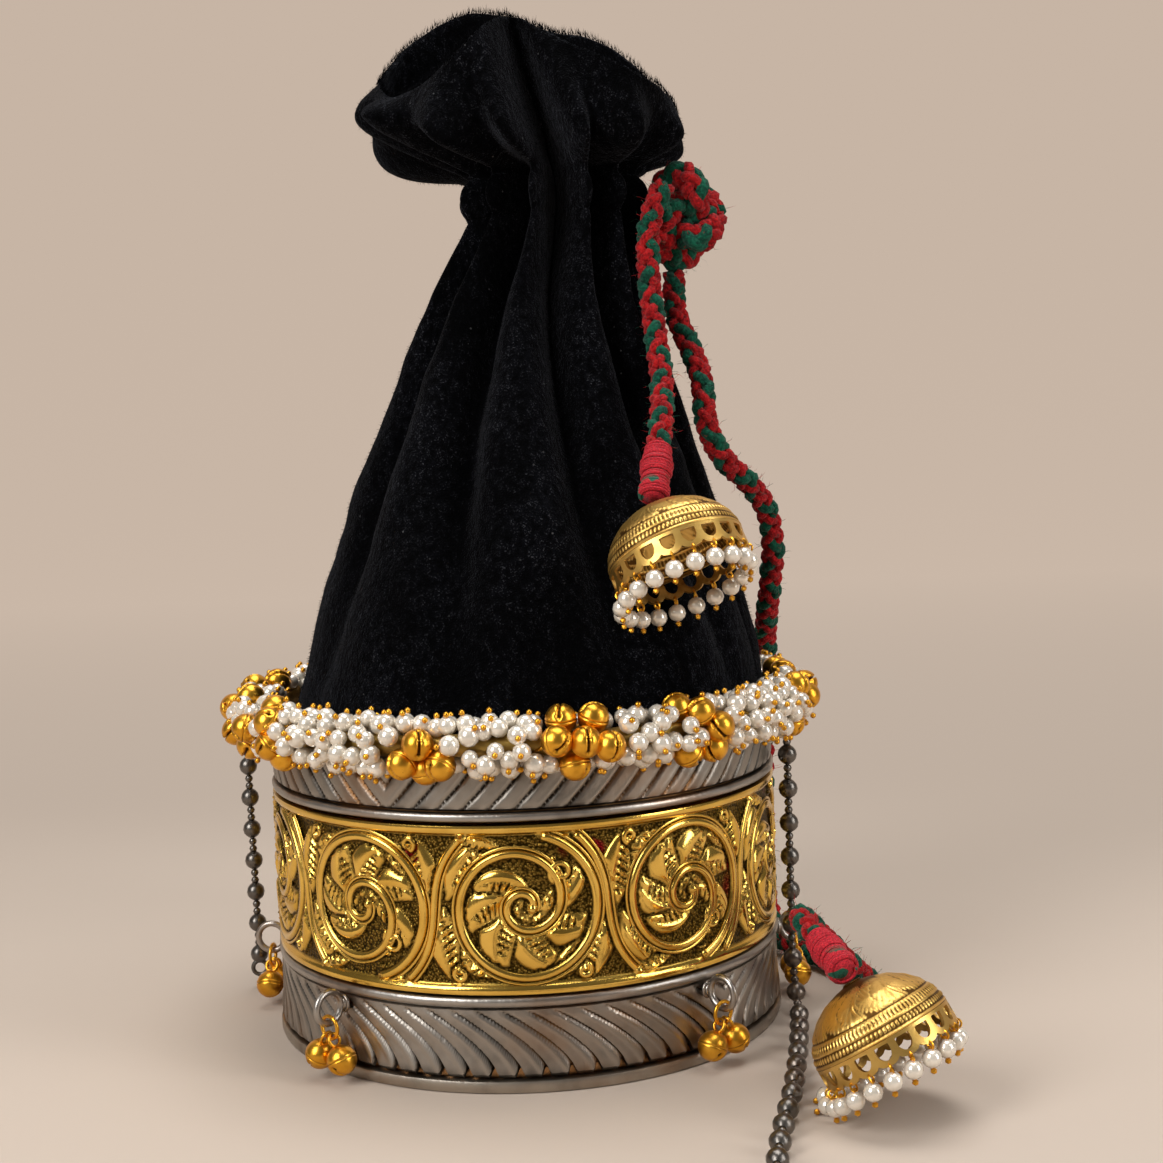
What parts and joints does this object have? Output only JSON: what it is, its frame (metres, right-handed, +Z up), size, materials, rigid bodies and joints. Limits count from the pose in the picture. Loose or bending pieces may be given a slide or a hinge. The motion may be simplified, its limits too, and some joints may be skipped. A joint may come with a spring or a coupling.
{
  "type": "potli bag",
  "caption": "Drawstring potli bag: gathered black velvet pouch on a round embossed metal drum, with pearl and bell trim, jhumka tassels and a bead chain handle.",
  "frame": {"origin": "middle of the drum base, on the table", "axes": "+Z up, -Y to the front of the bag, +X to the side where the drawstring hangs"},
  "size_m": [0.1719, 0.2573, 0.252],
  "materials": {
    "oxidised_silver": "oxidised silver sheet, chased",
    "gilt_brass": "bright gilt, darkened in the recesses",
    "antique_brass": "antique gilt, chased and pierced",
    "gunmetal": "polished gunmetal plating",
    "velvet": "black velvet pile",
    "braided_cord": "round braid of red and green wool yarn",
    "thread": "close winding of dark red thread",
    "pearl": "imitation pearl coat"
  },
  "bodies": {
    "bag": {"leaf_skirt": "oxidised_silver", "garland_pearls_rear_right": "pearl", "garland_pearls_rear_left": "pearl", "velvet_frill": "velvet", "jhumka_dome_a": "antique_brass", "jhumka_dome_b": "antique_brass", "velvet_pouch": "velvet", "garland_bells_left": "gilt_brass", "drawstring_tail_b": "braided_cord", "chain_right": "gunmetal", "scroll_band": "gilt_brass", "base_plate": "oxidised_silver", "fluted_band": "oxidised_silver", "jhumka_fringe_a": "pearl", "jhumka_fringe_b": "pearl", "garland_bells_right": "gilt_brass", "garland_pearls_right": "pearl", "garland_pearls_left": "pearl", "drum_wall": "oxidised_silver", "lower_moulding": "oxidised_silver", "upper_moulding": "oxidised_silver", "garland_bells_front_right": "gilt_brass", "garland_bells_right_front": "gilt_brass", "garland_bells_rear": "gilt_brass", "drawstring_casing": "braided_cord", "garland_bells_front_left": "gilt_brass", "drawstring_tail_a": "braided_cord", "garland_pearls_front_right": "pearl", "garland_pearls_front": "pearl", "drawstring_knot": "braided_cord", "chain_left": "gunmetal", "hanger_ring_front_left": "oxidised_silver", "hanger_ring_front_right": "oxidised_silver", "hanger_ring_left": "oxidised_silver", "hanger_ring_right": "oxidised_silver", "hanger_ring_rear": "oxidised_silver", "thread_wrap_a": "thread", "thread_wrap_b": "thread", "chain_end_ring": "gunmetal", "chain_clasp": "gunmetal"},
    "drop_front_left": {"drop_bell_front_left_l": "gilt_brass", "drop_bell_front_left_r": "gilt_brass", "jump_ring_front_left": "gilt_brass"},
    "drop_front_right": {"drop_bell_front_right_l": "gilt_brass", "drop_bell_front_right_r": "gilt_brass", "jump_ring_front_right": "gilt_brass"},
    "drop_left": {"drop_bell_left_l": "gilt_brass", "drop_bell_left_r": "gilt_brass", "jump_ring_left": "gilt_brass"},
    "drop_right": {"drop_bell_right_l": "gilt_brass", "drop_bell_right_r": "gilt_brass", "jump_ring_right": "gilt_brass"},
    "drop_rear": {"drop_bell_rear_l": "gilt_brass", "drop_bell_rear_r": "gilt_brass", "jump_ring_rear": "gilt_brass"}
  },
  "joints": [
    {"name": "drop_front_left_swing", "type": "hinge", "parent": "bag", "child": "drop_front_left", "pos_m": [-0.04507, -0.05185, 0.0174], "axis": [-0.7547, 0.6561, 0], "range_deg": [0, 80]},
    {"name": "drop_front_right_swing", "type": "hinge", "parent": "bag", "child": "drop_front_right", "pos_m": [0.04507, -0.05185, 0.0174], "axis": [-0.7547, -0.6561, 0], "range_deg": [0, 80]},
    {"name": "drop_left_swing", "type": "hinge", "parent": "bag", "child": "drop_left", "pos_m": [-0.06819, 0.00837, 0.0174], "axis": [0.1219, 0.9925, 0], "range_deg": [0, 80]},
    {"name": "drop_right_swing", "type": "hinge", "parent": "bag", "child": "drop_right", "pos_m": [0.06869, 0.0012, 0.0174], "axis": [0.0175, -0.9998, 0], "range_deg": [0, 80]},
    {"name": "drop_rear_swing", "type": "hinge", "parent": "bag", "child": "drop_rear", "pos_m": [0, 0.0687, 0.0174], "axis": [1, 0, 0], "range_deg": [0, 80]}
  ]
}
